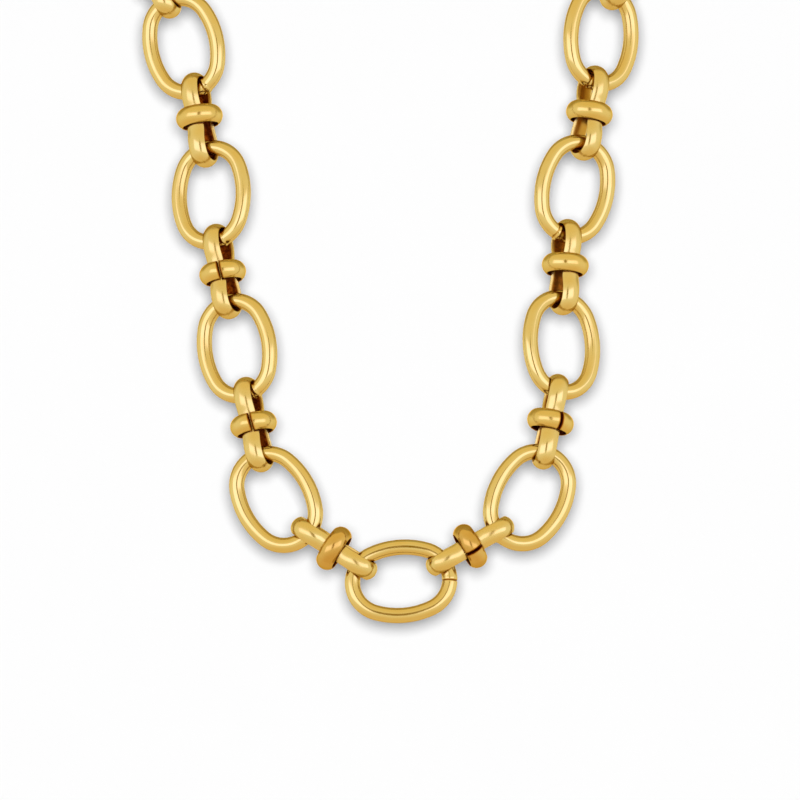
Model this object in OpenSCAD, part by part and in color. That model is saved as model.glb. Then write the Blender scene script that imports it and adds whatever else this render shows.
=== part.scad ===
// Necklace of fifteen oval links and fourteen slim two-bar connectors, each connector with a ring round its
// waist, closed at the nape by one plain long ring. It hangs as it does when worn: the wearer looks along -Y,
// +Z is up, and the origin is the middle of the closing ring at the nape.

/* [Oval link] */
// Length of an oval over its wire
oval_l = 21.8; // [18:0.1:26]
// Width of an oval over its wire
oval_w = 16.4; // [12:0.1:20]
// Thickness of its round wire
oval_wire = 3; // [2:0.1:4]

/* [Connector] */
// Length of a connector from tip to tip
bar_l = 19.1; // [15:0.1:24]
// Inside radius of the round tips
bar_tip_r = 2.1; // [1.8:0.1:3]
// Inside radius of the swollen flanks beside each tip
bar_flank_r = 5.6; // [4:0.1:8]
// Width of the half-round bar
bar_w = 3.6; // [2.5:0.1:4]
// Thickness of the half-round bar
bar_t = 1.5; // [1:0.1:2]
// Square lip along each edge of the bar, and of the waist ring's strip
lip = 0.2; // [0.1:0.05:0.5]
// Radius of the gentle rounding on the bar's inner side
bar_inner_r = 4.2; // [4:0.1:12]
// Radius of the inward bend between a flank and the waist
bar_bend_r = 11.8; // [8:0.1:12]

/* [Waist ring] */
// Outside diameter of the ring
ring_d = 9.2; // [8:0.1:11]
// Bore of the ring
ring_bore = 6.8; // [6.6:0.1:7.2]
// Length of the ring along the connector
ring_w = 3.6; // [2:0.1:4]
// Opening of the ring's butt seam
seam_gap = 0.35; // [0.2:0.05:0.8]
// Slant of the seam against the connector
seam_slant = 4; // [0:1:30]

/* [Closing ring] */
// Length of the closing ring over its wire
clasp_l = 14; // [12:0.1:20]
// Width of the closing ring over its wire
clasp_w = 8.6; // [8:0.1:12]
// Thickness of its round wire
clasp_wire = 2.2; // [1.6:0.1:3]

/* [Fit] */
// Room between a bar's tip and the oval wire that it holds
tip_room = 0.27; // [0.2:0.01:1]
// Room between the closing ring and the oval wire that it holds
clasp_room = 0.16; // [0.1:0.01:0.5]

/* [Hang] */
// Lean of the front stretch, its lower end nearer the viewer
front_lean = 12; // [0:1:25]
// Tilt of the lowest oval, its right end higher
low_tilt = 5; // [-10:1:10]
// Climb of the chain towards the back at the nape
nape_climb = 32; // [10:1:60]
// Climb of the chain towards the back where the front stretch ends
side_climb = 62; // [30:1:80]
// Roll of the links at the nape, which lays them on the slope of the shoulders
nape_roll = 32; // [0:1:45]

/* [Hidden] */
$fn = 64;

// Columns of the two hang tables, whose rows are the front ovals from the lowest pair upwards: tilt of the oval,
// its turn towards the side, tilt of the connector below it, tilt of the grip line through the points at which
// that connector holds both wires, the play left in it, its own roll towards the side, and how far its ring has
// slid up from its middle. Tilts are degrees from upright, outwards and upwards in the leaning front. Play and
// slide are in millimetres.
TILT = 0;
TURN = 1;
BAR = 2;
GRIP = 3;
PLAY = 4;
ROLL = 5;
SLIDE = 6;
left_hang = [
    [29, 10, 57, 53, 1.1, 10, 0],
    [10, 22, 11, 15, 0.35, 8, 0],
    [1, 21, 9, 13, 0.25, 9, -0.3],
    [14, 18, 8, 15, 0.75, 8, 0.6],
];
right_hang = [
    [27, 8, 60, 53, 0.6, 8, 0],
    [-2, 25, 11, 13, 0.15, -6, 0],
    [13, 23, 3, 7, 0.2, 6, 0.4],
    [6, 29, 8, 12, 0.3, 10, 0],
];
rear_ovals = 3;
front_ovals = len(left_hang);
side_ovals = front_ovals + rear_ovals;
ovals = 2 * side_ovals + 1;
connectors = ovals - 1;

// Where each ring's seam lies round its connector, in degrees from the outward side
seams = [150, 200, 170, 190, -19, -13, 165, 17, 22, 170, 190, 175, 205, 150];

// An oval's arcs meet on lines along this direction. Its whole-number triangle, 44 by 117 by 125, puts the
// centres on short decimals, so neighbouring arcs share their end faces exactly.
join = [0.352, 0.936];
// The triangle of a connector's arcs is 7 by 24 by 25
bar_join = [0.28, 0.96];
// Length of a sector's sides, beyond every arc
reach = 20;
join_x = reach * join[0];
join_y = reach * join[1];
bar_join_x = reach * bar_join[0];
bar_join_y = reach * bar_join[1];

// Four arcs make the oval's middle line
oval_a = (oval_l - oval_wire) / 2;
oval_b = (oval_w - oval_wire) / 2;
oval_step = (oval_a - oval_b) / (join[0] + join[1] - 1);
oval_end_x = oval_step * join[0];
oval_side_y = oval_step * join[1];
oval_end_r = oval_a - oval_end_x;
oval_side_r = oval_end_r + oval_step;

// Inside line of the connector, half of it: round tip, swollen flank, inward bend, then a short straight at
// the waist
bar_tip_x = bar_l / 2 - bar_t - bar_tip_r;
bar_flank_x = bar_tip_x - (bar_flank_r - bar_tip_r) * bar_join[0];
bar_flank_y = -(bar_flank_r - bar_tip_r) * bar_join[1];
bar_straight = bar_flank_x - (bar_flank_r + bar_bend_r) * bar_join[0];
bar_bend_y = bar_flank_y + (bar_flank_r + bar_bend_r) * bar_join[1];
bar_waist_r = bar_bend_y - bar_bend_r;
// Distance between the two wires that one connector holds
bar_reach = bar_l - 2 * bar_t - oval_wire - 2 * tip_room;
clasp_reach = clasp_l / 2 - clasp_wire - oval_wire / 2 - clasp_room;

// Small vector tools
function unit(v) = v / norm(v);
function across(v, n) = unit(v - (v * n) * n);
function about(v, axis, angle) =
    v * cos(angle) + cross(axis, v) * sin(angle) + axis * (axis * v) * (1 - cos(angle));

// Directions in the leaning front: side is 1 on the right of the picture and -1 on the left
front_up = [0, sin(front_lean), cos(front_lean)];
front_out = [0, -cos(front_lean), sin(front_lean)];
function hang_dir(side, tilt) = [side * sin(tilt), 0, 0] + cos(tilt) * front_up;

// An oval is [middle, direction along the chain, outward side], and a connector the same
MID = 0;
ALONG = 1;
OUT = 2;
function flipped(piece) = [piece[MID], -piece[ALONG], piece[OUT]];
function end_centre(oval) = oval[MID] + oval_end_x * oval[ALONG];

// The oval that hangs from another one by a connector that points along bar_dir and grips along grip_dir
function grip_point(oval, grip_dir) = end_centre(oval) + oval_end_r * across(grip_dir, oval[OUT]);
function next_middle(oval, along, out, bar_dir, grip_dir, play = 0) =
    grip_point(oval, grip_dir) + (bar_reach - play) * bar_dir
    + oval_end_r * across(grip_dir, out) + oval_end_x * along;

function front_oval(before, side, row) =
    let (along = hang_dir(side, row[TILT]))
    let (out = about(across(front_out, along), along, side * row[TURN]))
    let (bar_dir = hang_dir(side, row[BAR]))
    [next_middle(before, along, out, bar_dir, hang_dir(side, row[GRIP]), row[PLAY]), along, out];

function front_side(side, table, low, done = []) =
    len(done) == len(table) ? done
    : let (before = len(done) == 0 ? low : done[len(done) - 1])
      front_side(side, table, low, concat(done, [front_oval(before, side, table[len(done)])]));

low_along = about([1, 0, 0], front_out, low_tilt);
low_oval = [[0, 0, 0], low_along, front_out];
right_front = front_side(1, right_hang, low_oval);
left_front = front_side(-1, left_hang, flipped(low_oval));

// The rear stretch turns evenly from the front's upper ends to the nape, in a frame set on both ends
right_top = end_centre(right_front[front_ovals - 1]);
left_top = end_centre(left_front[front_ovals - 1]);
rear_x = unit(right_top - left_top);
rear_z = across([0, 0, 1], rear_x);
rear_y = cross(rear_z, rear_x);
steps = 2 * rear_ovals + 1;

// Part of the way from the nape, 0 at the closing ring and 1 at the top of the front
function part_left(step) = 1 - step / steps;
function climb(part) = nape_climb + (side_climb - nape_climb) * pow(part, 2);
function rearward(part) = cos(climb(part)) * rear_y + sin(climb(part)) * rear_z;
function rear_along(side, part, bend) =
    let (heading = 90 - bend * part) cos(heading) * rearward(part) - side * sin(heading) * rear_x;
function rear_out(side, part, bend, roll) =
    let (heading = 90 - bend * part)
    about(
        side * cos(heading) * rear_x + sin(heading) * rearward(part),
        rear_along(side, part, bend),
        -side * (nape_roll + (roll - nape_roll) * part)
    );

function rear_side(side, before, bend, roll, step = 1) =
    step > 2 * rear_ovals ? []
    : let (bar_dir = rear_along(side, part_left(step), bend))
      let (along = rear_along(side, part_left(step + 1), bend))
      let (out = across(rear_out(side, part_left(step + 1), bend, roll), along))
      let (oval = [next_middle(before, along, out, bar_dir, bar_dir), along, out])
      concat([oval], rear_side(side, oval, bend, roll, step + 2));

// Roll that carries the front's outward side on into the rear stretch
function start_roll(side, oval, bend) =
    let (dir = rear_along(side, 1, bend))
    let (flat = rear_out(side, 1, bend, 0))
    let (high = -side * cross(dir, flat))
    atan2(oval[OUT] * high, oval[OUT] * flat);

function rear_ovals_of(side, top, bend) = rear_side(side, top, bend, start_roll(side, top, bend));
function last_grip(side, top, bend) = grip_point(rear_ovals_of(side, top, bend)[rear_ovals - 1], -side * rear_x);
// How far a side stops short of the middle, in the frame of the rear stretch
function shortfall(side, top, bend) =
    side * ((last_grip(side, top, bend) - (right_top + left_top) / 2) * rear_x) - clasp_reach;
function closing_bend(side, top, low = 60, high = 200, tries = 30) =
    tries == 0 ? (low + high) / 2
    : let (bend = (low + high) / 2)
      shortfall(side, top, bend) > 0
      ? closing_bend(side, top, low, bend, tries - 1)
      : closing_bend(side, top, bend, high, tries - 1);

right_bend = closing_bend(1, right_front[front_ovals - 1]);
left_bend = closing_bend(-1, left_front[front_ovals - 1]);
right_rear = rear_ovals_of(1, right_front[front_ovals - 1], right_bend);
left_rear = rear_ovals_of(-1, left_front[front_ovals - 1], left_bend);
right_end = last_grip(1, right_front[front_ovals - 1], right_bend);
left_end = last_grip(-1, left_front[front_ovals - 1], left_bend);
nape = (right_end + left_end) / 2;

// Pieces in order along the chain, from the closing ring down the left side and up the right
function reversed(list) = [for (i = [len(list) - 1:-1:0]) list[i]];
function placed(list) = [for (piece = list) [piece[MID] - nape, piece[ALONG], piece[OUT]]];
left_side = concat(left_front, left_rear);
right_side = concat(right_front, right_rear);
all_ovals = placed(concat([for (oval = reversed(left_side)) flipped(oval)], [low_oval], right_side));

// Each connector runs between the grip points on its two ovals, and faces out midway between them but for its
// own roll
front_grips = concat(
    [for (i = [front_ovals - 1:-1:0]) -hang_dir(-1, left_hang[i][GRIP])],
    [for (row = right_hang) hang_dir(1, row[GRIP])]
);
still = [for (i = [1:rear_ovals]) 0];
rolls = concat(
    still, [for (i = [front_ovals - 1:-1:0]) left_hang[i][ROLL]], [for (row = right_hang) row[ROLL]], still
);
slides = concat(
    still, [for (i = [front_ovals - 1:-1:0]) -left_hang[i][SLIDE]], [for (row = right_hang) row[SLIDE]], still
);
function rear_grip(side, bend, step) = side * rear_along(side, part_left(step), bend);
grips = concat(
    [for (i = [rear_ovals:-1:1]) rear_grip(-1, left_bend, 2 * i - 1)],
    front_grips,
    [for (i = [1:rear_ovals]) rear_grip(1, right_bend, 2 * i - 1)]
);
function connector(i) =
    let (start = grip_point(all_ovals[i], grips[i]))
    let (finish = grip_point(flipped(all_ovals[i + 1]), -grips[i]))
    let (along = unit(finish - start))
    let (out = across(all_ovals[i][OUT] + all_ovals[i + 1][OUT], along))
    [(start + finish) / 2, along, about(out, along, rolls[i])];

// Moves a shape drawn along X, with its outward side up, to its place in the chain
module at(piece) {
    side = cross(piece[OUT], piece[ALONG]);
    multmatrix([
        for (i = [0:2]) [piece[ALONG][i], side[i], piece[OUT][i], piece[MID][i]]
    ])
        children();
}

gold = "Goldenrod";

// The part of a full turn that lies in a sector, given by its corners round the centre
module arc(corners) {
    intersection() {
        rotate_extrude()
            children();
        linear_extrude(reach, center = true)
            polygon(concat([[0, 0]], corners));
    }
}

module oval_wire_section(radius) {
    translate([radius, 0])
        circle(d = oval_wire);
}

module oval_shape() {
    for (end = [0, 180])
        rotate(end)
            translate([oval_end_x, 0, 0])
                arc([[join_x, -join_y], [reach, -join_y], [reach, join_y], [join_x, join_y]])
                    oval_wire_section(oval_end_r);
    for (edge = [0, 180])
        rotate(edge)
            translate([0, -oval_side_y, 0])
                arc([[join_x, join_y], [-join_x, join_y]])
                    oval_wire_section(oval_side_r);
}

// Half-round section: flat on X = 0, rounded towards +X, with a square lip along each edge
module half_round(width, thick, edge) {
    rise = thick - edge;
    round_r = (pow(width / 2, 2) + pow(rise, 2)) / (2 * rise);
    intersection() {
        translate([thick - round_r, 0])
            circle(r = round_r);
        translate([0, -width / 2])
            square([thick, width]);
    }
}

// The bar's flat side is gently rounded too, so that it seats close on the curved wire
module bar_section() {
    inner_rise = bar_inner_r - sqrt(pow(bar_inner_r, 2) - pow(bar_w / 2, 2));
    intersection() {
        half_round(bar_w, bar_t, inner_rise + lip);
        translate([bar_inner_r, 0])
            circle(r = bar_inner_r);
    }
}

// Drawn in the XY plane, then stood up so that its bars lie one behind the other
module connector_shape() {
    rotate([90, 0, 0]) {
        for (end = [0, 180])
            rotate(end) {
                translate([bar_tip_x, 0, 0])
                    arc([
                        [bar_join_x, -bar_join_y], [reach, -bar_join_y],
                        [reach, bar_join_y], [bar_join_x, bar_join_y]
                    ])
                        translate([bar_tip_r, 0])
                            bar_section();
                for (edge = [0, 1])
                    mirror([0, edge, 0]) {
                        translate([bar_flank_x, bar_flank_y, 0])
                            arc([[bar_join_x, bar_join_y], [-bar_join_x, bar_join_y]])
                                translate([bar_flank_r, 0])
                                    bar_section();
                        translate([bar_straight, bar_bend_y, 0])
                            arc([[0, -bar_join_y], [bar_join_x, -bar_join_y]])
                                translate([bar_bend_r, 0])
                                    mirror([1, 0])
                                        bar_section();
                    }
            }
        for (edge = [0, 180])
            rotate([edge, 0, 0])
                translate([-bar_straight, bar_waist_r, 0])
                    rotate([90, 0, 90])
                        linear_extrude(2 * bar_straight)
                            bar_section();
    }
}

// A strip bent to a ring round the waist, its two ends meeting at a slanted seam on the outward side
module ring_shape() {
    difference() {
        rotate([0, 90, 0])
            rotate_extrude()
                translate([ring_bore / 2, 0])
                    half_round(ring_w, (ring_d - ring_bore) / 2, lip);
        translate([0, 0, ring_d / 2])
            rotate(seam_slant)
                cube([2 * ring_w, seam_gap, ring_d], center = true);
    }
}

// A long ring with straight sides
module clasp_shape() {
    clasp_end_r = (clasp_w - clasp_wire) / 2;
    clasp_straight = clasp_l - clasp_w;
    rotate([90, 0, 0])
        for (end = [0, 180])
            rotate(end) {
                translate([clasp_straight / 2, 0, 0])
                    rotate(-90)
                        rotate_extrude(angle = 180)
                            translate([clasp_end_r, 0])
                                circle(d = clasp_wire);
                translate([-clasp_straight / 2, clasp_end_r, 0])
                    rotate([0, 90, 0])
                        cylinder(d = clasp_wire, h = clasp_straight);
            }
}

module oval_link(i) {
    color(gold)
        at(all_ovals[i])
            oval_shape();
}

module connector_loop(i) {
    color(gold)
        at(connector(i))
            connector_shape();
}

module waist_ring(i) {
    color("DarkGoldenrod")
        at(connector(i))
            translate([slides[i], 0, 0])
                rotate([seams[i], 0, 0])
                    ring_shape();
}

module closing_ring() {
    along = unit(right_end - left_end);
    color(gold)
        at([[0, 0, 0], along, across(all_ovals[0][OUT] + all_ovals[ovals - 1][OUT], along)])
            clasp_shape();
}

for (i = [1:ovals])
    oval_link(i - 1);
for (i = [1:connectors])
    connector_loop(i - 1);
for (i = [1:connectors])
    waist_ring(i - 1);
closing_ring();
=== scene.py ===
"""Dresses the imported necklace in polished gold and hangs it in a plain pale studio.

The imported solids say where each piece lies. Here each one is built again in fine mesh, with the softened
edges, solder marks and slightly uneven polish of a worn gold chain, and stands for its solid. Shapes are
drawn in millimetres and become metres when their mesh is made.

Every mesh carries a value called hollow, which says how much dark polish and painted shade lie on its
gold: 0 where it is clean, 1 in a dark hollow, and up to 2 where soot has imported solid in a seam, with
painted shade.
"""

import logging
import math
from dataclasses import dataclass, field, replace
from enum import Enum

import bpy
import numpy as np
from mathutils import Matrix, Vector

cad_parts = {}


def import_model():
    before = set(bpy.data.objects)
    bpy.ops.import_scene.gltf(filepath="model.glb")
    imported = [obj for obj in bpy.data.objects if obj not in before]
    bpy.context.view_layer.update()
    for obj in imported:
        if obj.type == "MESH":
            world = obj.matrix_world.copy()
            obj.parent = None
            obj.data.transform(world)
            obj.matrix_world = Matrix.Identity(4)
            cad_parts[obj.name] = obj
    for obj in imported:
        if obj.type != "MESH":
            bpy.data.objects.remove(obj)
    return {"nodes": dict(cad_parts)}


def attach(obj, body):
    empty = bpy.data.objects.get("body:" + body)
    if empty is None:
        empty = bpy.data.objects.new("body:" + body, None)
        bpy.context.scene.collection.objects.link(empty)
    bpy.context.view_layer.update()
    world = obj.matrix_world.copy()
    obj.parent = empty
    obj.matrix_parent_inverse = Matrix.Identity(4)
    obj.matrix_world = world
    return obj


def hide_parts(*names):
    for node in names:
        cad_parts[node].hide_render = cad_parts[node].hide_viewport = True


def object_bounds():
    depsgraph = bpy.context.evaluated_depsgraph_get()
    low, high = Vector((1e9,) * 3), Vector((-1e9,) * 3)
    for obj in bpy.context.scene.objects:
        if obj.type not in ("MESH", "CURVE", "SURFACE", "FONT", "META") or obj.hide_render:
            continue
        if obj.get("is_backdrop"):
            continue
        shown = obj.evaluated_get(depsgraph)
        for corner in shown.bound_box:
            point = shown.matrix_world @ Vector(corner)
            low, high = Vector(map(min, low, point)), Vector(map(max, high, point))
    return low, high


LOG = logging.getLogger("necklace")
MM = 0.001
BODY = "root"
# Hollow where soot has imported solid beside a seam, with painted shade of its gap.
PACKED = 2.0
# How fast dark polish and painted shade gather on a side that turns to face the middle of its loop.
GATHERS = 1.2
# The share of it that round wire keeps: less painted shade, and less dark polish, which cloth reaches from
# every side.
WIRE_KEEPS = 0.12

Array = np.ndarray
Color = tuple[float, float, float]
Spot = tuple[float, float, float]
Pair = tuple[float, float]
Socket = bpy.types.NodeSocket


class Plane(Enum):
    """How a swept shape lies in its piece.

    Rows turn the path's plane and depth into along, side and outward.
    """

    FLAT = ((1, 0, 0), (0, 1, 0), (0, 0, 1))
    UPRIGHT = ((1, 0, 0), (0, 0, -1), (0, 1, 0))
    ROUND = ((0, 0, 1), (0, -1, 0), (1, 0, 0))


class Outward(Enum):
    """Which of a solid's three main axes is its outward side, counted from its shortest."""

    SHORTEST = 0
    MIDDLE = 1


@dataclass(frozen=True)
class Fineness:
    """The longest step in millimetres and the sharpest turn in degrees between two points of a mesh."""

    longest: float
    sharpest: float


@dataclass(frozen=True)
class Leg:
    """One stretch of a path: an arc with a turn and a radius, or a straight with a length."""

    turn: float = 0.0
    radius: float = 0.0
    straight: float = 0.0

    @property
    def length(self) -> float:
        """Length of the stretch in millimetres."""
        return self.straight or math.radians(abs(self.turn)) * self.radius

    @property
    def bend(self) -> float:
        """Turn in radians for each millimetre, positive to the left."""
        return 0.0 if self.straight else math.copysign(1 / self.radius, self.turn)

    def steps(self, fine: Fineness) -> Array:
        """Even steps along the stretch.

        Args:
            fine: how far apart they may be.

        Returns:
            The distance of each step's start from the start of the stretch.
        """
        count = max(1, math.ceil(self.length / fine.longest), math.ceil(abs(self.turn) / fine.sharpest))
        return np.arange(count) * self.length / count


class Track:
    """A smooth closed path in a plane. It starts on the first axis, heads up the second and turns left."""

    def __init__(self, start: float, legs: list[Leg]) -> None:
        """Joins the legs end to end.

        Args:
            start: distance of the starting point from the middle.
            legs: the stretches in order.
        """
        self.legs = legs
        self.ends = np.cumsum([leg.length for leg in legs])
        self.length = float(self.ends[-1])
        self.spots = [np.array([start, 0.0])]
        self.headings = [math.pi / 2]
        for leg in legs:
            spot, heading = self.spots[-1], self.headings[-1]
            self.spots.append(self._ahead(spot, heading, leg, np.array([leg.length]))[0])
            self.headings.append(heading + leg.bend * leg.length)

    @staticmethod
    def _ahead(spot: Array, heading: float, leg: Leg, run: Array) -> Array:
        """Points at distances along one leg.

        Args:
            spot: the leg's starting point.
            heading: its starting heading in radians.
            leg: the leg.
            run: distances from its start.

        Returns:
            One point for each distance.
        """
        if leg.bend == 0:
            return spot + run[:, None] * np.array([math.cos(heading), math.sin(heading)])
        turned = heading + leg.bend * run
        moved = [np.sin(turned) - math.sin(heading), math.cos(heading) - np.cos(turned)]
        return spot + np.stack(moved, axis=1) / leg.bend

    def steps(self, fine: Fineness) -> Array:
        """Stations round the path, even within each leg.

        Args:
            fine: how far apart they may be.

        Returns:
            Distances along the path, rising from 0.
        """
        starts = [0.0, *self.ends[:-1]]
        return np.concatenate([start + leg.steps(fine) for start, leg in zip(starts, self.legs)])

    def at(self, stations: Array) -> tuple[Array, Array]:
        """Points and outward normals at stations.

        Args:
            stations: distances along the path.

        Returns:
            The points, and the unit normals that face away from the inside.
        """
        points = np.zeros((len(stations), 2))
        normals = np.zeros((len(stations), 2))
        which = np.minimum(np.searchsorted(self.ends, stations, side="right"), len(self.legs) - 1)
        for i, leg in enumerate(self.legs):
            here = which == i
            run = stations[here] - (self.ends[i] - leg.length)
            turned = self.headings[i] + leg.bend * run
            points[here] = self._ahead(self.spots[i], self.headings[i], leg, run)
            normals[here] = np.stack([np.sin(turned), -np.cos(turned)], axis=1)
        return points, normals


def round_section(diameter: float) -> Track:
    """Section of round wire, drawn about its own middle."""
    return Track(diameter / 2, [Leg(turn=360, radius=diameter / 2)])


def strip_section(width: float, crown: float, inner: float, edge: float) -> Track:
    """Section of a domed strip with softened edges, its inner side touching the second axis.

    Args:
        width: width over both edges.
        crown: radius of the domed outer side.
        inner: radius of the inner side.
        edge: radius of the softened edges.

    Returns:
        The section, which starts at the top of its dome.
    """
    half = width / 2 - edge
    edge_out = inner - math.sqrt((inner - edge) ** 2 - half**2)
    rise = math.sqrt((crown - edge) ** 2 - half**2)
    dome = math.degrees(math.atan2(half, rise))
    under = math.degrees(math.atan2(half, inner - edge_out))
    side = Leg(turn=180 - dome - under, radius=edge)
    legs = [Leg(turn=dome, radius=crown), side, Leg(turn=2 * under, radius=inner), side]
    return Track(edge_out - rise + crown, [*legs, Leg(turn=dome, radius=crown)])


def gathered(facing: Array) -> Array:
    """Dark polish and painted shade at each column of a section, by how far its normal faces the loop's
    middle.
    """
    return np.clip(-GATHERS * facing[:, 0], 0, 1)


@dataclass
class Skin:
    """A surface made of a grid of points: rows along a piece, columns round its section."""

    points: Array
    hollow: Array
    along: Array
    around: Array
    closed: bool = True

    def mesh(self, name: str, plane: Plane, place: "Place") -> bpy.types.Mesh:
        """Makes the mesh in metres, with its hollow values and its coordinates along and round the piece.

        Args:
            name: the mesh's name.
            plane: how the shape lies in its piece.
            place: where the piece lies.

        Returns:
            The mesh, smooth shaded.
        """
        rows, columns = self.hollow.shape
        turned = self.points.reshape(-1, 3) @ np.array(plane.value, float).T
        i, j = np.meshgrid(np.arange(rows if self.closed else rows - 1), np.arange(columns), indexing="ij")
        i, j = i.ravel(), j.ravel()
        ahead, beside = (i + 1) % rows, (j + 1) % columns
        corners = [i * columns + j, ahead * columns + j, ahead * columns + beside, i * columns + beside]
        faces = np.stack(corners, axis=1).tolist()
        run = np.stack([self.along[i], self.along[i + 1], self.along[i + 1], self.along[i]], axis=1)
        lap = np.stack([self.around[j], self.around[j], self.around[j + 1], self.around[j + 1]], axis=1)
        if not self.closed:
            last = (rows - 1) * columns
            faces += [list(range(columns)), list(range(last + columns - 1, last - 1, -1))]
            ends = np.repeat([self.along[0], self.along[rows - 1]], columns)
            run = np.concatenate([run.ravel(), ends])
            lap = np.concatenate([lap.ravel(), self.around[:columns], self.around[:columns][::-1]])
        mesh = bpy.data.meshes.new(name)
        mesh.from_pydata(turned * MM, [], faces)
        mesh.transform(place.matrix)
        mesh.shade_smooth()
        hollow = mesh.attributes.new("hollow", "FLOAT", "POINT")
        hollow.data.foreach_set("value", self.hollow.ravel().astype(np.float32))
        sheet = mesh.uv_layers.new(name="run")
        spread = np.stack([run.ravel(), lap.ravel()], axis=1) * MM
        sheet.data.foreach_set("uv", spread.ravel().astype(np.float32))
        return mesh


@dataclass(frozen=True)
class Ripple:
    """The slight unevenness that hand polishing leaves, always at or under the true surface."""

    depth: float = 0.008
    waves: int = 9
    laps: int = 2
    terms: int = 10

    def over(self, rng: np.random.Generator, along: Array, around: Array) -> Array:
        """Depth of the unevenness over a piece.

        Args:
            rng: the piece's random numbers.
            along: how far each row is along the piece, from 0 to 1.
            around: how far each column is round the section, from 0 to 1.

        Returns:
            Heights in millimetres, none above 0.
        """
        height = np.zeros((len(along), len(around)))
        for _ in range(self.terms):
            wave, lap = rng.integers(1, self.waves + 1), rng.integers(0, self.laps + 1)
            shift, turn = rng.uniform(0, 2 * math.pi, 2)
            lengthways = np.cos(2 * math.pi * wave * along + shift)
            crossways = np.cos(2 * math.pi * lap * around + turn)
            height += np.outer(lengthways, crossways) / math.sqrt(wave)
        return self.depth * (height / np.abs(height).max() - 1)


@dataclass(frozen=True)
class Weld:
    """The mark where a ring of wire was closed: a narrow groove beside a low bead of solder."""

    groove: float = 0.04
    half_width: float = 0.12
    bead: float = 0.16
    bead_at: float = 0.5
    bead_half: float = 0.28
    bead_uneven: float = 0.25
    lumps: int = 2
    lump_shift: float = 0.1
    grime: float = 0.6
    reach: float = 1.3
    count: int = 33

    def rows(self) -> Array:
        """Extra rows that the mark needs, as distances from its middle."""
        return np.linspace(-self.reach, self.reach, self.count)

    def relief(self, distance: Array, around: Array) -> Array:
        """Height of the mark.

        Args:
            distance: each row's distance from its middle in millimetres.
            around: how far each column is round the wire, from 0 to 1.

        Returns:
            Heights in millimetres, rows by columns.
        """
        cut = -self.groove * np.exp(-((distance / self.half_width) ** 2))
        bead = self.bead * np.exp(-(((distance - self.bead_at) / self.bead_half) ** 2))
        lumpy = np.cos(2 * math.pi * (self.lumps * around + self.lump_shift))
        return cut[:, None] + np.outer(bead, 1 - self.bead_uneven + self.bead_uneven * lumpy)

    def dirt_and_shade(self, distance: Array) -> Array:
        """How much dark polish the groove has kept, with painted shade, at each distance from its middle,
        from 0 to 1.
        """
        return self.grime * np.exp(-((distance / self.half_width) ** 2))


def swept(path: Track, rows: Array, section: Track, columns: Array, relief: Array) -> Skin:
    """Carries a section along a path.

    Args:
        path: the closed path.
        rows: stations along the path.
        section: the closed section, drawn outwards and across.
        columns: stations round the section.
        relief: height above the true surface at each row and column.

    Returns:
        The skin, with dark polish and painted shade gathered where it faces the middle of the loop.
    """
    spots, out = path.at(rows)
    shape, facing = section.at(columns)
    height = shape[None, :, 0] + relief * facing[None, :, 0]
    across = shape[None, :, 1] + relief * facing[None, :, 1]
    flat = spots[:, None, :] + height[:, :, None] * out[:, None, :]
    hollow = np.tile(gathered(facing), (len(rows), 1))
    along, around = np.append(rows, path.length), np.append(columns, section.length)
    return Skin(np.dstack([flat, across]), hollow, along, around)


@dataclass(frozen=True)
class Place:
    """Where a piece lies: its middle in metres, its direction along the chain and its outward side."""

    middle: Array
    along: Array
    outward: Array

    @property
    def matrix(self) -> Matrix:
        """The move from the piece's own directions, along, side and outward, to the frame.

        Returns:
            The move.
        """
        columns = [self.along, np.cross(self.outward, self.along), self.outward, self.middle]
        grid = np.eye(4)
        grid[:3] = np.stack(columns, axis=1)
        return Matrix(grid.tolist())


class Solid:
    """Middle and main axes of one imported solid."""

    def __init__(self, node: bpy.types.Object) -> None:
        """Sums the moments of the pyramids between the solid's triangles and one point.

        A pyramid's volume is a sixth of the box on its three edges, its middle lies at a quarter of their
        sum, and its second moments take a twentieth.

        Args:
            node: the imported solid's object.
        """
        mesh = node.data
        mesh.calc_loop_triangles()
        spots = np.zeros(len(mesh.vertices) * 3)
        mesh.vertices.foreach_get("co", spots)
        spots = spots.reshape(-1, 3)
        corners = np.zeros(len(mesh.loop_triangles) * 3, int)
        mesh.loop_triangles.foreach_get("vertices", corners)
        origin = spots.mean(axis=0)
        a, b, c = np.moveaxis((spots - origin)[corners.reshape(-1, 3)], 1, 0)
        parts = np.einsum("ij,ij->i", a, np.cross(b, c)) / 6
        volume = parts.sum()
        total = a + b + c
        centre = parts @ total / 4 / volume
        moments = sum(np.einsum("i,ij,ik->jk", parts, v, v) for v in (a, b, c, total)) / 20 / volume
        self.middle = origin + centre
        self.axes = np.linalg.eigh(moments - np.outer(centre, centre))[1].T


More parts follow.
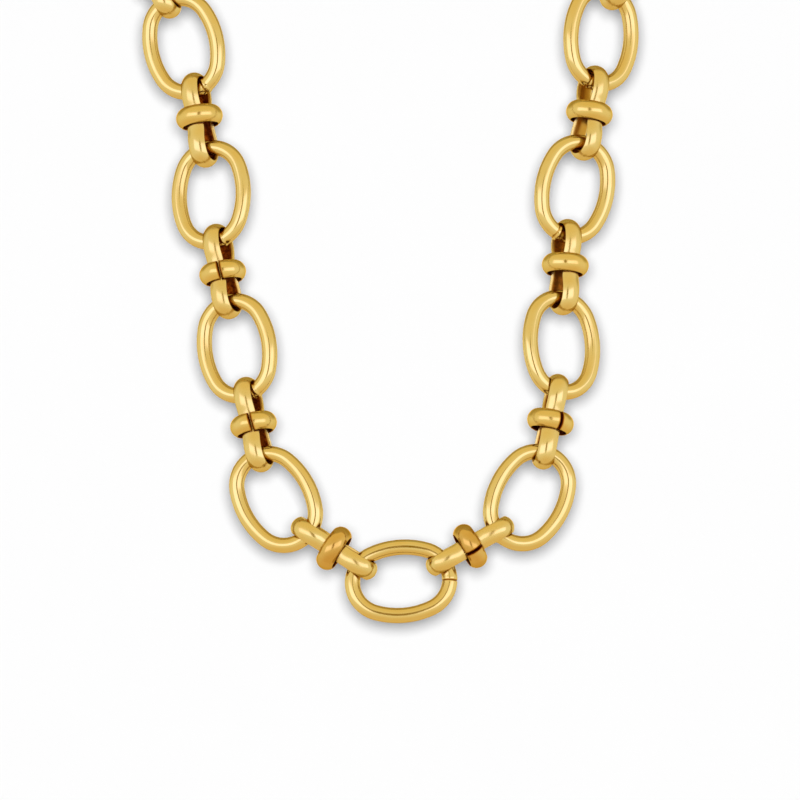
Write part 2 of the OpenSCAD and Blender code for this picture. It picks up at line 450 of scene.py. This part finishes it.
class Chain:
    """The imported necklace, read piece by piece in order along the chain."""

    def __init__(self, nodes: dict[str, bpy.types.Object], box: tuple[Vector, Vector]) -> None:
        """Reads where every piece lies.

        Args:
            nodes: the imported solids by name.
            box: the whole necklace's lowest and highest corners.
        """
        self.ovals = sum(name.startswith("oval_link_") for name in nodes)
        low, high = box
        self.axis = (np.array(low) + np.array(high)) / 2
        self.solids = {name: Solid(node) for name, node in nodes.items()}
        self.order = ["closing_ring"]
        for i in range(1, self.ovals):
            self.order += [f"oval_link_{i}", f"connector_loop_{i}"]
        self.order.append(f"oval_link_{self.ovals}")

    @property
    def lowest(self) -> int:
        """The number of the oval link at the middle of the front."""
        return (self.ovals + 1) // 2

    def place(self, name: str, side: Outward) -> Place:
        """Where a link lies.

        Args:
            name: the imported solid's name.
            side: which of its main axes is its outward side.

        Returns:
            Its place, heading on along the chain and facing away from the neck.
        """
        solid = self.solids[name]
        i = self.order.index(name)
        behind = self.solids[self.order[i - 1]].middle
        ahead = self.solids[self.order[(i + 1) % len(self.order)]].middle
        away = (solid.middle - self.axis) * (1, 1, 0)
        along = solid.axes[2] * np.sign(solid.axes[2] @ (ahead - behind))
        outward = solid.axes[side.value] * np.sign(solid.axes[side.value] @ away)
        return Place(solid.middle, along, outward)

    def waists(self) -> list[Place]:
        """The place of every connector, in order along the chain."""
        return [self.place(f"connector_loop_{i}", Outward.MIDDLE) for i in range(1, self.ovals)]

    def ring_place(self, name: str, waist: Place) -> Place:
        """Where a waist ring lies, its outward side at its seam.

        Args:
            name: the ring's name.
            waist: the place of the connector inside it.

        Returns:
            The place. The gap at the seam leaves the ring heavier on its far side, which shows where it is.
        """
        light = waist.middle - self.solids[name].middle
        slide = (light @ waist.along) * waist.along
        light -= slide
        return Place(waist.middle - slide, waist.along, light / np.linalg.norm(light))


@dataclass(frozen=True)
class Grain:
    """A cloudy pattern: how many of its clouds lie in a metre, and how finely they break up."""

    scale: float
    detail: float
    harshness: float = 0.5


class Graph:
    """Adds and joins the nodes of one shader."""

    def __init__(self, tree: bpy.types.NodeTree) -> None:
        """Starts on an empty tree."""
        tree.nodes.clear()
        self.tree = tree

    def add(self, kind: str, inputs: dict | None = None, **settings: object) -> bpy.types.Node:
        """Adds one node.

        Args:
            kind: the node's type, without its ShaderNode prefix.
            inputs: values and sockets for its inputs, by name or number.
            settings: the node's own settings.

        Returns:
            The node.
        """
        node = self.tree.nodes.new("ShaderNode" + kind)
        for key, value in settings.items():
            setattr(node, key, value)
        for key, value in (inputs or {}).items():
            if isinstance(value, Socket):
                self.tree.links.new(value, node.inputs[key])
            else:
                node.inputs[key].default_value = value
        return node

    def math(self, operation: str, *values: object) -> Socket:
        """One sum.

        Args:
            operation: the operation's name.
            values: numbers and sockets.

        Returns:
            The result's socket.
        """
        return self.add("Math", dict(enumerate(values)), operation=operation).outputs[0]

    def noise(self, spot: Socket, grain: Grain) -> Socket:
        """A cloudy pattern.

        Args:
            spot: where it is read.
            grain: what it is like.

        Returns:
            The pattern's socket.
        """
        inputs = {"Vector": spot, "Scale": grain.scale, "Detail": grain.detail, "Roughness": grain.harshness}
        return self.add("TexNoise", inputs).outputs[0]

    def rise(self, value: Socket, low: float, high: float) -> Socket:
        """A smooth step.

        Args:
            value: what is measured.
            low: where the step starts, at 0.
            high: where it ends, at 1.

        Returns:
            The step's socket.
        """
        step = self.add("MapRange", {"Value": value, 1: low, 2: high}, interpolation_type="SMOOTHSTEP")
        return step.outputs[0]

    def span(self, value: Socket, low: float, high: float) -> Socket:
        """Carries a share from 0 to 1 over to a range of values.

        Args:
            value: the share.
            low: the value at 0.
            high: the value at 1.

        Returns:
            The value's socket.
        """
        return self.add("MapRange", {"Value": value, 3: low, 4: high}).outputs[0]

    def mix(self, share: object, first: object, second: object, way: str = "MIX") -> Socket:
        """Mixes two colors.

        Args:
            share: how much of the second color shows.
            first: a color or socket.
            second: a color or socket.
            way: how the second color acts on the first.

        Returns:
            The mixed color's socket.
        """
        first, second = ((*c, 1.0) if isinstance(c, tuple) else c for c in (first, second))
        inputs = {0: share, 6: first, 7: second}
        return self.add("Mix", inputs, data_type="RGBA", blend_type=way).outputs[2]


@dataclass(frozen=True)
class Scratches:
    """Fine scratches that run one way: how many lie in a metre along and round a piece, and how few show."""

    density: Spot
    slant: float
    shown: Pair
    grain: Grain = Grain(1.0, 2.0)

    def lines(self, g: Graph, run: Socket) -> Socket:
        """The scratches' height.

        Args:
            g: the finish's shader.
            run: the coordinates along and round the piece.

        Returns:
            Its socket, 1 on a scratch and 0 beside it.
        """
        turned = g.add("Mapping", {"Vector": run, "Scale": self.density, "Rotation": (0, 0, self.slant)})
        return g.rise(g.noise(turned.outputs[0], self.grain), *self.shown)


@dataclass(frozen=True)
class GoldFinish:
    """Polished gold with the marks of wear, darkened by dark polish and painted shade in its hollows and
    crevices.

    The crevice and the depths are in metres.
    """

    slot: str
    color: Color
    deep_color: Color
    # Dark polish colours, which also paint the shade in hollows and crevices: tarnish and soot, and a
    # stained gold between.
    tarnish_and_shade: Color = (0.45, 0.104, 0.008)
    soot_and_shade: Color = (0.13, 0.013, 0.001)
    stained_and_shaded: Color = (0.74, 0.39, 0.07)
    edge_tint: Color = (0.76, 0.58, 0.28)
    roughness: float = 0.13
    roughness_spread: Pair = (0.8, 1.25)
    dirt_roughness: float = 0.25
    clouds: Grain = Grain(260.0, 3.0)
    color_step: Pair = (0.35, 0.65)
    dull_step: Pair = (0.3, 0.7)
    grime: Grain = Grain(1300.0, 5.0, 0.62)
    grime_step: Pair = (0.35, 0.65)
    half_dark: float = 0.5
    crevice: float = 0.0011
    crevice_step: Pair = (0.25, 0.95)
    crevice_samples: int = 6
    wave: Grain = Grain(420.0, 1.0)
    wave_depth: float = 0.00012
    waviness: float = 0.1
    hair: Scratches = Scratches((900.0, 14000.0, 1.0), 0.35, (0.62, 0.72))
    rub: Scratches = Scratches((11000.0, 1200.0, 1.0), -0.5, (0.66, 0.76))
    scratch_depth: float = 0.000006
    scratching: float = 0.12

    def material(self) -> bpy.types.Material:
        """Builds the finish.

        Returns:
            The material.
        """
        made = bpy.data.materials.new("finish_" + self.slot)
        made.use_nodes = True
        g = Graph(made.node_tree)
        spot = g.add("TexCoord").outputs["Object"]
        clouds = g.noise(spot, self.clouds)
        hollow = g.add("Attribute", attribute_name="hollow").outputs["Fac"]
        # Ambient occlusion darkens the gold in crevices, where shade falls: painted shade, joined to the
        # hollow value.
        nearby = g.add("AmbientOcclusion", {"Distance": self.crevice}, samples=self.crevice_samples)
        crevice_shade = g.math("SUBTRACT", 1.0, nearby.outputs["AO"])
        dark = g.math("MAXIMUM", hollow, g.rise(crevice_shade, *self.crevice_step))
        soot_and_shade = g.math("SUBTRACT", hollow, 1.0)
        metal = g.add(
            "BsdfPrincipled",
            {
                "Base Color": self.tone(g, spot, clouds, dark, soot_and_shade),
                "Metallic": 1.0,
                "Roughness": self.dullness(g, clouds, dark),
                "Specular Tint": (*self.edge_tint, 1.0),
                "Normal": self.wear(g, spot),
            },
        )
        g.add("OutputMaterial", {"Surface": metal.outputs[0]})
        return made

    def tone(self, g: Graph, spot: Socket, clouds: Socket, dark: Socket, soot_and_shade: Socket) -> Socket:
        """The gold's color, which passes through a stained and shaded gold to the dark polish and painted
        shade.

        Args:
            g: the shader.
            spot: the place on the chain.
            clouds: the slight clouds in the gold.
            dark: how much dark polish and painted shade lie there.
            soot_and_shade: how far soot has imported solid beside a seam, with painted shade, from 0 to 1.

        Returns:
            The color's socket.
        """
        grime = g.rise(g.noise(spot, self.grime), *self.grime_step)
        dirt_and_shade = g.mix(g.math("MAXIMUM", grime, soot_and_shade), self.tarnish_and_shade, self.soot_and_shade)
        clean = g.mix(g.rise(clouds, *self.color_step), self.color, self.deep_color)
        stained_and_shaded = g.mix(g.rise(dark, 0.0, self.half_dark), clean, self.stained_and_shaded)
        return g.mix(g.rise(dark, self.half_dark, 1.0), stained_and_shaded, dirt_and_shade)

    def dullness(self, g: Graph, clouds: Socket, dark: Socket) -> Socket:
        """The gold's roughness, which the clouds vary and the dark polish and painted shade raise.

        Args:
            g: the shader.
            clouds: the slight clouds in the gold.
            dark: how much dark polish and painted shade lie there.

        Returns:
            The roughness's socket.
        """
        smoothest, dullest = (share * self.roughness for share in self.roughness_spread)
        bare = g.span(g.rise(clouds, *self.dull_step), smoothest, dullest)
        return g.math("MULTIPLY_ADD", dark, self.dirt_roughness, bare)

    def wear(self, g: Graph, spot: Socket) -> Socket:
        """The surface's fine scratches over the slight waves of its polish.

        Args:
            g: the shader.
            spot: the place on the chain.

        Returns:
            The normal's socket.
        """
        wave = {"Strength": self.waviness, "Distance": self.wave_depth, "Height": g.noise(spot, self.wave)}
        bowed = g.add("Bump", wave).outputs[0]
        run = g.add("UVMap", uv_map="run").outputs[0]
        lines = g.math("ADD", self.hair.lines(g, run), self.rub.lines(g, run))
        cut = {"Strength": self.scratching, "Distance": self.scratch_depth, "Height": lines, "Normal": bowed}
        return g.add("Bump", cut, invert=True).outputs[0]


@dataclass
class Piece:
    """What every piece of the chain shares: its finish and its unevenness."""

    finish: GoldFinish
    ripple: Ripple = Ripple()
    made: dict[GoldFinish, bpy.types.Material] = field(default_factory=dict)

    def finish_of(self, node: str) -> GoldFinish:
        """The finish of one piece, which is the same for all unless a kind of piece says otherwise."""
        return self.finish

    def dress(self, skin: Skin, plane: Plane, name: str, node: str, place: Place) -> bpy.types.Object:
        """Sets one piece in its place, with its finish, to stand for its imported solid.

        Args:
            skin: its surface.
            plane: how the surface lies in the piece.
            name: the piece's name.
            node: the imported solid's name.
            place: where it lies.

        Returns:
            The piece.
        """
        piece = bpy.data.objects.new(name, skin.mesh(name, plane, place))
        bpy.context.scene.collection.objects.link(piece)
        finish = self.finish_of(node)
        if finish not in self.made:
            self.made[finish] = finish.material()
        piece.data.materials.append(self.made[finish])
        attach(piece, BODY)
        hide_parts(node)
        LOG.info("%s: %d faces", name, len(piece.data.polygons))
        return piece


@dataclass
class OvalLinks(Piece):
    """The oval links: round wire bent to four smooth arcs and closed by a small weld."""

    length: float = 21.8
    width: float = 16.4
    wire: float = 3.0
    join: Pair = (0.352, 0.936)
    weld: Weld = Weld()
    butt: Weld = Weld(groove=0.13, half_width=0.13, bead=0.02, grime=1.0)
    weld_at: float = 18.0
    butt_at: float = -6.5
    row: Fineness = Fineness(0.36, 4.0)
    column: Fineness = Fineness(1.0, 9.0)
    decimals: int = 6
    seed: int = 100

    def path(self) -> Track:
        """Middle line of the wire. Join points from an end arc's middle to where a side arc takes over.

        Returns:
            The line.
        """
        a, b = (self.length - self.wire) / 2, (self.width - self.wire) / 2
        step = (a - b) / (sum(self.join) - 1)
        end_r = a - step * self.join[0]
        turn = math.degrees(math.atan2(self.join[1], self.join[0]))
        half, side = Leg(turn=turn, radius=end_r), Leg(turn=180 - 2 * turn, radius=end_r + step)
        return Track(a, [half, side, Leg(turn=2 * turn, radius=end_r), side, half])

    def weld_station(self, path: Track, number: int, lowest: int) -> float:
        """Where the weld lies. It is near the lower end of each link, on the side towards the neckline.

        Args:
            path: the wire's middle line.
            number: the link's number along the chain.
            lowest: the number of the link at the middle of the front.

        Returns:
            Its distance along the middle line.
        """
        end_r = path.legs[0].radius
        if number == lowest:
            return (math.radians(self.butt_at) * end_r) % path.length
        offset = math.radians(self.weld_at) * end_r
        return offset if number < lowest else path.length / 2 - offset

    def build(self, chain: Chain) -> list[bpy.types.Object]:
        """Builds every oval link.

        Args:
            chain: where the pieces lie.

        Returns:
            The links in order along the chain.
        """
        path, section = self.path(), round_section(self.wire)
        columns = section.steps(self.column)
        share = columns / section.length
        made = []
        for i in range(1, chain.ovals + 1):
            rng = np.random.default_rng(self.seed + i)
            mark = self.butt if i == chain.lowest else self.weld
            spot = self.weld_station(path, i, chain.lowest)
            rows = np.concatenate([path.steps(self.row), mark.rows() + spot]) % path.length
            rows = np.unique(np.round(rows, self.decimals))
            away = (rows - spot + path.length / 2) % path.length - path.length / 2
            relief = self.ripple.over(rng, rows / path.length, share) + mark.relief(away, share)
            skin = swept(path, rows, section, columns, relief)
            skin.hollow = np.maximum(WIRE_KEEPS * skin.hollow, mark.dirt_and_shade(away)[:, None])
            node = f"oval_link_{i}"
            place = chain.place(node, Outward.SHORTEST)
            made.append(self.dress(skin, Plane.FLAT, f"polished_oval_{i}", node, place))
        return made


@dataclass
class Connectors(Piece):
    """The slim loops of domed strip between the ovals, drawn in at the waist."""

    length: float = 19.1
    tip: float = 2.1
    flank: float = 5.6
    width: float = 3.6
    thick: float = 1.5
    crown: float = 2.258
    inner: float = 4.2
    edge: float = 0.2024
    bend: float = 11.8
    join: Pair = (0.28, 0.96)
    # Where the dark polish and painted shade on the strip's inner side stop towards its edges and how fast
    # they fade; some connectors get less of them.
    dark_reach: float = 0.9
    dark_fade: float = 0.25
    fainter_dark: dict[int, float] = field(default_factory=lambda: {10: 0.85, 11: 0.45})
    row: Fineness = Fineness(0.4, 4.0)
    column: Fineness = Fineness(0.25, 6.5)
    seed: int = 300

    def kept(self, across: Array) -> Array:
        """How much dark polish and painted shade lie on the strip's inner side, fading out towards its
        edges.

        Args:
            across: how far each column is from the strip's middle line.

        Returns:
            Shares from 0 at the edges to 1.
        """
        share = np.clip((self.dark_reach - np.abs(across) / (self.width / 2)) / self.dark_fade, 0, 1)
        return share**2 * (3 - 2 * share)

    def path(self) -> Track:
        """Inside line of the strip: round ends, swollen flanks and a straight waist between hollow bends.

        Returns:
            The line.
        """
        tip_x = self.length / 2 - self.thick - self.tip
        flank_x = tip_x - (self.flank - self.tip) * self.join[0]
        straight = flank_x - (self.flank + self.bend) * self.join[0]
        lean = math.degrees(math.atan2(*self.join))
        half, end = Leg(turn=90 - lean, radius=self.tip), Leg(turn=180 - 2 * lean, radius=self.tip)
        flank, inward = Leg(turn=2 * lean, radius=self.flank), Leg(turn=-lean, radius=self.bend)
        side = [flank, inward, Leg(straight=2 * straight), inward, flank]
        return Track(tip_x + self.tip, [half, *side, end, *side, half])

    def build(self, chain: Chain) -> list[bpy.types.Object]:
        """Builds every connector.

        Args:
            chain: where the pieces lie.

        Returns:
            The connectors in order along the chain.
        """
        path = self.path()
        section = strip_section(self.width, self.crown, self.inner, self.edge)
        rows, columns = path.steps(self.row), section.steps(self.column)
        kept = self.kept(section.at(columns)[0][:, 1])
        made = []
        for i, place in enumerate(chain.waists(), 1):
            rng = np.random.default_rng(self.seed + i)
            relief = self.ripple.over(rng, rows / path.length, columns / section.length)
            skin = swept(path, rows, section, columns, relief)
            skin.hollow *= kept * self.fainter_dark.get(i, 1.0)
            node = f"connector_loop_{i}"
            made.append(self.dress(skin, Plane.UPRIGHT, f"polished_connector_{i}", node, place))
        return made


@dataclass
class WaistRings(Piece):
    """The domed strip bent round each connector's waist, its two ends meeting at a slanted seam."""

    bore: float = 6.8
    width: float = 3.6
    crown: float = 2.12
    inner: float = 200.0
    edge: float = 0.1496
    gap: float = 0.35
    slant: float = 4.0
    end_edge: float = 0.16
    packed_reach: float = 0.04
    stain_reach: float = 0.24
    tuck: float = 0.09
    tuck_least: float = 0.3
    tuck_reach: float = 2.6
    end_rows: int = 6
    middle_rows: int = 114
    column: Fineness = Fineness(0.5, 7.0)
    seed: int = 500
    # Two rings take a deeper, coppery copy of the ring gold.
    deeper_finish: GoldFinish | None = None
    deeper_rings: tuple[str, ...] = ("waist_ring_7", "waist_ring_8")

    def finish_of(self, node: str) -> GoldFinish:
        """The finish of one ring. The two beside the lowest oval take a deeper, coppery gold."""
        return self.deeper_finish if self.deeper_finish and node in self.deeper_rings else self.finish

    def rows(self, length: float) -> Array:
        """Distances of the rows from the first end, closer together at both rounded ends.

        Args:
            length: length of the strip.

        Returns:
            The distances.
        """
        ends = self.end_edge * (1 - np.cos(np.linspace(0, math.pi / 2, self.end_rows)))
        middle = np.linspace(self.end_edge, length - self.end_edge, self.middle_rows + 2)[1:-1]
        return np.concatenate([ends, middle, length - ends[::-1]])

    def rounding(self, nearest: Array) -> Array:
        """How far the rounded ends lie under the strip's surface.

        Args:
            nearest: each row's distance from the nearer end.

        Returns:
            The depths in millimetres.
        """
        inside = np.clip(self.end_edge - nearest, 0, None)
        return self.end_edge - np.sqrt(self.end_edge**2 - inside**2)

    def stain(self, nearest: Array) -> Array:
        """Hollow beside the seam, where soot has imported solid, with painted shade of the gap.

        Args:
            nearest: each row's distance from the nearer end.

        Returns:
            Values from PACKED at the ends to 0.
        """
        fade = (self.stain_reach - nearest) / (self.stain_reach - self.packed_reach)
        return PACKED * np.clip(fade, 0, 1)

    def bent(self, radius: Array, across: Array, share: Array) -> Array:
        """Bends the strip round its bore, each side of the seam cut at the same slant.

        Args:
            radius: each point's distance from the ring's axis.
            across: its distance from the strip's middle line.
            share: how far each row is along the strip, from 0 to 1.

        Returns:
            The points, rows by columns.
        """
        slant = math.radians(self.slant)
        skew = -across * math.tan(slant)
        half_gap = self.gap / 2 / math.cos(slant)
        first = np.arcsin((skew + half_gap) / radius)
        last = 2 * math.pi + np.arcsin((skew - half_gap) / radius)
        angle = first + (last - first) * share[:, None]
        return np.dstack([radius * np.cos(angle), radius * np.sin(angle), across])

    def build(self, chain: Chain) -> list[bpy.types.Object]:
        """Builds every waist ring. One end of its strip is tucked in slightly, more on some than on others.

        Args:
            chain: where the pieces lie.

        Returns:
            The rings in order along the chain.
        """
        section = strip_section(self.width, self.crown, self.inner, self.edge)
        columns = section.steps(self.column)
        shape, facing = section.at(columns)
        bore_r = self.bore / 2
        length = 2 * math.pi * bore_r
        rows = self.rows(length)
        nearest = np.minimum(rows, length - rows)
        rounding = self.rounding(nearest)[:, None]
        hollow = np.maximum(gathered(facing)[None, :], self.stain(nearest)[:, None])
        tuck = self.tuck * np.clip(1 - rows / self.tuck_reach, 0, 1) ** 2
        along, around = np.append(rows, length), np.append(columns, section.length)
        made = []
        for i, waist in enumerate(chain.waists(), 1):
            rng = np.random.default_rng(self.seed + i)
            relief = self.ripple.over(rng, rows / length, columns / section.length) - rounding
            tucked = tuck * rng.uniform(self.tuck_least, 1)
            radius = bore_r + shape[None, :, 0] + relief * facing[None, :, 0] - tucked[:, None]
            across = shape[None, :, 1] + relief * facing[None, :, 1]
            points = self.bent(radius, across, rows / length)
            skin = Skin(points, hollow, along, around, closed=False)
            node = f"waist_ring_{i}"
            place = chain.ring_place(node, waist)
            made.append(self.dress(skin, Plane.ROUND, f"polished_ring_{i}", node, place))
        return made


@dataclass
class ClosingRing(Piece):
    """The plain long ring that joins the two ends at the nape."""

    length: float = 14.0
    width: float = 8.6
    wire: float = 2.2
    row: Fineness = Fineness(0.3, 4.0)
    column: Fineness = Fineness(1.0, 9.0)
    seed: int = 700

    def path(self) -> Track:
        """Middle line of the wire.

        Returns:
            The line.
        """
        radius = (self.width - self.wire) / 2
        straight = Leg(straight=self.length - self.width)
        quarter, half = Leg(turn=90, radius=radius), Leg(turn=180, radius=radius)
        return Track((self.length - self.wire) / 2, [quarter, straight, half, straight, quarter])

    def build(self, chain: Chain) -> bpy.types.Object:
        """Builds the ring.

        Args:
            chain: where the pieces lie.

        Returns:
            The ring.
        """
        path, section = self.path(), round_section(self.wire)
        rows, columns = path.steps(self.row), section.steps(self.column)
        rng = np.random.default_rng(self.seed)
        relief = self.ripple.over(rng, rows / path.length, columns / section.length)
        skin = swept(path, rows, section, columns, relief)
        skin.hollow *= WIRE_KEEPS
        place = chain.place("closing_ring", Outward.MIDDLE)
        return self.dress(skin, Plane.UPRIGHT, "polished_closing_ring", "closing_ring", place)


@dataclass(frozen=True)
class StudioLight:
    """What the gold reflects: a warm room with soft panels beside a dark lens and far behind the chain.

    Places are in degrees, to either side of the lens and above its level.
    """

    high: Color = (0.72, 0.613, 0.276)
    level: Color = (0.76, 0.74, 0.5)
    low: Color = (0.68, 0.548, 0.264)
    rear: Color = (0.42, 0.365, 0.144)
    panel: Color = (1.2, 1.19, 1.2)
    lens: Color = (0.28, 0.185, 0.022)
    plain: Color = (1.0, 1.0, 1.0)
    fill: Color = (0.17, 0.17, 0.17)
    twice: Color = (0.6, 0.66, 0.6)
    bounces: float = 1.5
    slope: float = 60.0
    rear_side: Pair = (95.0, 125.0)
    rear_height: Pair = (2.0, 20.0)
    near_edge: Pair = (7.0, 11.0)
    far_edge: Pair = (67.0, 57.0)
    behind_edge: Pair = (147.0, 157.0)
    panel_middle: float = 6.0
    panel_edge: Pair = (18.0, 10.0)
    lens_side: float = 6.5
    lens_middle: float = 11.0
    lens_half: float = 17.0
    lens_edge: Pair = (1.35, 0.65)

    def room(self, g: Graph, side: Socket, height: Socket) -> Socket:
        """The room, which is palest level with the lens and dimmer behind the chain.

        Args:
            g: the world's shader.
            side: how far to the side of the lens.
            height: how far above its level.

        Returns:
            Its color's socket.
        """
        room = g.mix(g.rise(height, -self.slope, 0.0), self.low, self.level)
        room = g.mix(g.rise(height, 0.0, self.slope), room, self.high)
        behind = g.math("MULTIPLY", g.rise(side, *self.rear_side), g.rise(height, *self.rear_height))
        return g.mix(behind, room, self.rear)

    def panels(self, g: Graph, side: Socket, height: Socket) -> Socket:
        """The soft panels, one on each side of the lens and one behind the chain.

        Args:
            g: the world's shader.
            side: how far to the side of the lens.
            height: how far above its level.

        Returns:
            The socket of their share, from 0 to 1.
        """
        front = g.math("MULTIPLY", g.rise(side, *self.near_edge), g.rise(side, *self.far_edge))
        across = g.math("MAXIMUM", front, g.rise(side, *self.behind_edge))
        off_middle = g.math("ABSOLUTE", g.math("SUBTRACT", height, self.panel_middle))
        return g.math("MULTIPLY", across, g.rise(off_middle, *self.panel_edge))

    def dark_lens(self, g: Graph, side: Socket, height: Socket) -> Socket:
        """The dark upright oval of the lens and its stand.

        Args:
            g: the world's shader.
            side: how far to the side of its middle.
            height: how far above its level.

        Returns:
            The socket of its share, from 0 to 1.
        """
        across = g.math("POWER", g.math("DIVIDE", side, self.lens_side), 2.0)
        off_middle = g.math("ABSOLUTE", g.math("SUBTRACT", height, self.lens_middle))
        upward = g.math("POWER", g.math("DIVIDE", off_middle, self.lens_half), 2.0)
        return g.rise(g.math("ADD", across, upward), *self.lens_edge)

    def world(self) -> bpy.types.World:
        """Builds the surroundings.

        Returns:
            The world: plain white to the camera, an even fill for the backdrop, and the studio in
            reflections, dimmer where the gold reflects other gold.
        """
        world = bpy.data.worlds.new("studio")
        world.use_nodes = True
        g = Graph(world.node_tree)
        way = g.add("SeparateXYZ", {0: g.add("TexCoord").outputs["Generated"]}).outputs
        turn = g.math("ABSOLUTE", g.math("ARCTAN2", way[0], g.math("MULTIPLY", way[1], -1.0)))
        side = g.math("MULTIPLY", turn, math.degrees(1))
        height = g.math("MULTIPLY", g.math("ARCSINE", way[2]), math.degrees(1))
        seen = g.mix(self.panels(g, side, height), self.room(g, side, height), self.panel)
        seen = g.mix(self.dark_lens(g, side, height), seen, self.lens)
        path = g.add("LightPath").outputs
        again = g.math("GREATER_THAN", path["Glossy Depth"], self.bounces)
        seen = g.mix(again, seen, self.twice, "MULTIPLY")
        light = g.mix(path["Is Glossy Ray"], self.fill, seen)
        light = g.mix(path["Is Camera Ray"], light, self.plain)
        g.add("OutputWorld", {"Surface": g.add("Background", {"Color": light}).outputs[0]})
        world.cycles.sampling_method = "NONE"
        return world


@dataclass(frozen=True)
class Studio:
    """The plain pale room, and the camera level with the front of the chain.

    Sizes are in metres, the sensor's in millimetres and the sun's spread in degrees.
    """

    light: StudioLight = StudioLight()
    target: Spot = (0.002922, -0.065, -0.12603)
    distance: float = 2.5
    across: float = 0.155259
    sensor: float = 36.0
    clip: Pair = (0.05, 100.0)
    key_power: float = 1720.0
    key_radius: float = 0.0034
    key_rise: float = 0.00135
    sun_strength: float = 2.96
    sun_spread: float = 30.0
    sun_spot: Spot = (0.0, 0.0, 3.0)
    floor_level: float = -0.9
    wall_y: float = 4.5
    sweep: float = 0.45
    sweep_points: int = 25
    half_room: float = 9.0
    paper: Color = (0.895, 0.895, 0.895)
    pale_paper: Color = (0.905, 0.905, 0.905)
    fibre: Grain = Grain(14.0, 4.0)

    def paper_material(self) -> bpy.types.Material:
        """The backdrop's matt paper, with a trace of its fibre.

        Returns:
            The material.
        """
        paper = bpy.data.materials.new("pale_paper")
        paper.use_nodes = True
        g = Graph(paper.node_tree)
        fibre = g.noise(g.add("TexCoord").outputs["Object"], self.fibre)
        matt = g.add("BsdfDiffuse", {"Color": g.mix(fibre, self.paper, self.pale_paper)})
        g.add("OutputMaterial", {"Surface": matt.outputs[0]})
        return paper

    def backdrop(self) -> bpy.types.Object:
        """Builds the floor, which sweeps up to a wall far behind.

        Returns:
            The backdrop.
        """
        start = self.wall_y - self.sweep
        line = [(-self.half_room, self.floor_level)]
        for a in np.radians(np.linspace(0, 90, self.sweep_points)):
            height = self.sweep * (1 - math.cos(a))
            line.append((start + self.sweep * math.sin(a), self.floor_level + height))
        line.append((self.wall_y, self.half_room))
        points = [(x, y, z) for y, z in line for x in (-self.half_room, self.half_room)]
        faces = [(2 * i, 2 * i + 1, 2 * i + 3, 2 * i + 2) for i in range(len(line) - 1)]
        mesh = bpy.data.meshes.new("backdrop")
        mesh.from_pydata(points, [], faces)
        mesh.shade_smooth()
        mesh.materials.append(self.paper_material())
        sheet = bpy.data.objects.new("backdrop", mesh)
        bpy.context.scene.collection.objects.link(sheet)
        sheet.visible_glossy = False
        sheet.visible_diffuse = False
        sheet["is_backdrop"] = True
        return sheet

    def lamp(self, name: str, kind: str, spot: Spot, **settings: float) -> bpy.types.Object:
        """Adds one light that neither the camera nor the gold sees directly.

        Args:
            name: its name.
            kind: its type.
            spot: where it stands.
            settings: its own settings.

        Returns:
            The light.
        """
        data = bpy.data.lights.new(name, kind)
        for key, value in settings.items():
            setattr(data, key, value)
        lamp = bpy.data.objects.new(name, data)
        lamp.location = spot
        lamp.visible_camera = False
        lamp.visible_glossy = False
        bpy.context.scene.collection.objects.link(lamp)
        return lamp

    def camera(self, stand: Spot) -> bpy.types.Object:
        """Adds the camera, which looks level along the second axis.

        Args:
            stand: where it stands.

        Returns:
            The camera.
        """
        data = bpy.data.cameras.new("camera")
        data.sensor_width = self.sensor
        data.lens = self.sensor * self.distance / self.across
        data.clip_start, data.clip_end = self.clip
        camera = bpy.data.objects.new("camera", data)
        camera.location = stand
        camera.rotation_euler = (math.pi / 2, 0.0, 0.0)
        bpy.context.scene.collection.objects.link(camera)
        LOG.info("studio: camera %.2f m away with a %.0f mm lens", self.distance, data.lens)
        return camera

    def build(self) -> None:
        """Sets up the room, its light and the camera."""
        bpy.context.scene.world = self.light.world()
        bpy.context.scene.view_settings.view_transform = "Standard"
        self.backdrop()
        x, y, z = self.target
        y -= self.distance
        key = (x, y, z + self.key_rise)
        self.lamp("key", "POINT", key, energy=self.key_power, shadow_soft_size=self.key_radius)
        spread = math.radians(self.sun_spread)
        self.lamp("overhead", "SUN", self.sun_spot, energy=self.sun_strength, angle=spread)
        bpy.context.scene.camera = self.camera((x, y, z))


def main() -> None:
    """Builds the necklace piece by piece, then the studio."""
    logging.basicConfig(level=logging.INFO, format="%(message)s")
    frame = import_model()
    cad_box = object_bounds()
    chain = Chain(frame["nodes"], cad_box)
    gold = GoldFinish("gold_oval", (1.0, 0.76, 0.36), (1.0, 0.73, 0.32))
    ring_gold = GoldFinish("gold_ring", (1.0, 0.73, 0.31), (0.98, 0.69, 0.26), roughness=0.18)
    deeper_gold = replace(ring_gold, color=(0.92, 0.58, 0.2), deep_color=(0.84, 0.5, 0.15))
    OvalLinks(gold).build(chain)
    Connectors(replace(gold, slot="gold_connector", roughness=0.2)).build(chain)
    WaistRings(ring_gold, deeper_finish=deeper_gold).build(chain)
    ClosingRing(replace(gold, slot="gold_clasp")).build(chain)
    Studio().build()


if __name__ == "__main__":
    main()
